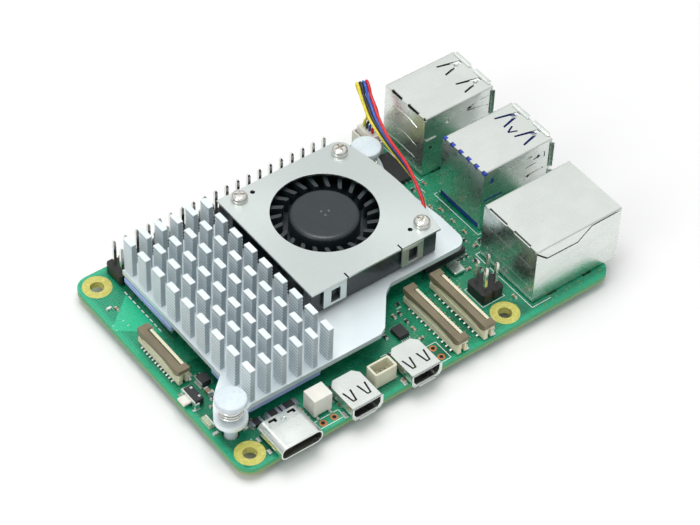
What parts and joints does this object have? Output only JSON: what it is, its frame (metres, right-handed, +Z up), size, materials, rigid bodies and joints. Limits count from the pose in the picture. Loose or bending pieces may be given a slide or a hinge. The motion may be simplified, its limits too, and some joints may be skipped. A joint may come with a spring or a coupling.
{
  "type": "single board computer with active cooler",
  "caption": "Credit-card-sized green computer board with tall network and USB sockets at one end, a pin header along one side, and a finned aluminium cooler with a blower on top.",
  "frame": {"origin": "middle of the underside of the object's bounding box, without the fan wires, at the lowest solder tabs and the card socket", "axes": "+X along the board towards the network and USB sockets, +Y across the board towards the long pin header, +Z up from the component side"},
  "size_m": [0.0882, 0.0588, 0.019],
  "materials": {
    "solder_mask": "green solder mask on glass-fibre laminate",
    "black_nylon": "black moulded nylon",
    "tinned_steel": "satin tin-plated sheet steel",
    "blue_nylon": "blue moulded nylon",
    "cream_nylon": "cream moulded nylon",
    "brown_nylon": "brown-grey moulded nylon",
    "white_nylon": "off-white moulded nylon",
    "chip_epoxy": "black epoxy package",
    "nickel": "nickel-plated metal",
    "thermal_pad": "soft lilac silicone pad",
    "anodised_aluminium": "clear satin anodised",
    "brushed_plate": "brushed sheet steel",
    "fan_plastic": "dark satin plastic",
    "brass": "plain brass and copper",
    "translucent_nylon": "milky translucent nylon",
    "wire_yellow": "yellow wire sleeve",
    "wire_black": "black wire sleeve",
    "wire_blue": "blue wire sleeve",
    "wire_red": "red wire sleeve",
    "led_lens": "translucent light block"
  },
  "bodies": {
    "board": {"pcb": "solder_mask", "gpio_header": "black_nylon", "poe_header": "black_nylon", "ethernet_shell": "tinned_steel", "ethernet_insert": "black_nylon", "usb3_shell": "tinned_steel", "usb3_insulator": "blue_nylon", "usb2_shell": "tinned_steel", "usb2_insulator": "black_nylon", "usb_c_shell": "tinned_steel", "usb_c_insulator": "black_nylon", "hdmi0_shell": "tinned_steel", "hdmi0_insulator": "black_nylon", "hdmi1_shell": "tinned_steel", "hdmi1_insulator": "black_nylon", "mipi0_housing": "cream_nylon", "mipi1_housing": "cream_nylon", "pcie_housing": "cream_nylon", "rtc_battery_connector": "white_nylon", "uart_connector": "white_nylon", "fan_connector": "white_nylon", "fan_plug": "white_nylon", "soc_substrate": "solder_mask", "soc_lid": "nickel", "ram_chip": "chip_epoxy", "io_controller_chip": "chip_epoxy", "power_management_chip": "chip_epoxy", "ethernet_phy_chip": "chip_epoxy", "wireless_shield_can": "tinned_steel", "crystal": "tinned_steel", "power_inductor": "chip_epoxy", "soc_thermal_pad": "thermal_pad", "wireless_thermal_pad": "thermal_pad", "power_thermal_pad": "thermal_pad", "power_button_body": "tinned_steel", "status_led": "led_lens", "microsd_shell": "tinned_steel", "microsd_base": "black_nylon", "heatsink": "anodised_aluminium", "fan_frame": "fan_plastic", "fan_cover": "brushed_plate", "fan_bearing": "brass", "fan_stator": "brass", "fan_screw_1": "nickel", "fan_screw_2": "nickel", "fan_screw_3": "nickel", "push_pin_spring_1": "nickel", "push_pin_spring_2": "nickel", "fan_wire_yellow": "wire_yellow", "fan_wire_black": "wire_black", "fan_wire_blue": "wire_blue", "fan_wire_red": "wire_red"},
    "rotor": {"fan_rotor": "fan_plastic", "fan_shaft": "nickel"},
    "power_button": {"power_button_plunger": "white_nylon"},
    "mipi0_clamp": {"mipi0_latch": "brown_nylon"},
    "mipi1_clamp": {"mipi1_latch": "brown_nylon"},
    "pcie_clamp": {"pcie_latch": "brown_nylon"},
    "corner_pin_near": {"push_pin_1": "translucent_nylon"},
    "corner_pin_far": {"push_pin_2": "translucent_nylon"}
  },
  "joints": [
    {"name": "fan_spin", "type": "hinge", "parent": "board", "child": "rotor", "pos_m": [-0.00095, 0.0077, 0.0121], "axis": [0, 0, 1], "continuous": true},
    {"name": "power_button_press", "type": "slide", "parent": "board", "child": "power_button", "axis": [1, 0, 0], "range_m": [0, 0.0003], "stiffness_N_per_m": 4000, "springref_m": -0.0002},
    {"name": "mipi0_latch_lift", "type": "slide", "parent": "board", "child": "mipi0_clamp", "axis": [0, 0, 1], "range_m": [0, 0.001]},
    {"name": "mipi1_latch_lift", "type": "slide", "parent": "board", "child": "mipi1_clamp", "axis": [0, 0, 1], "range_m": [0, 0.001]},
    {"name": "pcie_latch_lift", "type": "slide", "parent": "board", "child": "pcie_clamp", "axis": [0, 0, 1], "range_m": [0, 0.001]},
    {"name": "push_pin_1_press", "type": "slide", "parent": "board", "child": "corner_pin_near", "axis": [0, 0, -1], "range_m": [0, 0.001], "stiffness_N_per_m": 600, "springref_m": -0.002, "deforming": ["push_pin_spring_1"]},
    {"name": "push_pin_2_press", "type": "slide", "parent": "board", "child": "corner_pin_far", "axis": [0, 0, -1], "range_m": [0, 0.001], "stiffness_N_per_m": 600, "springref_m": -0.002, "deforming": ["push_pin_spring_2"]}
  ]
}
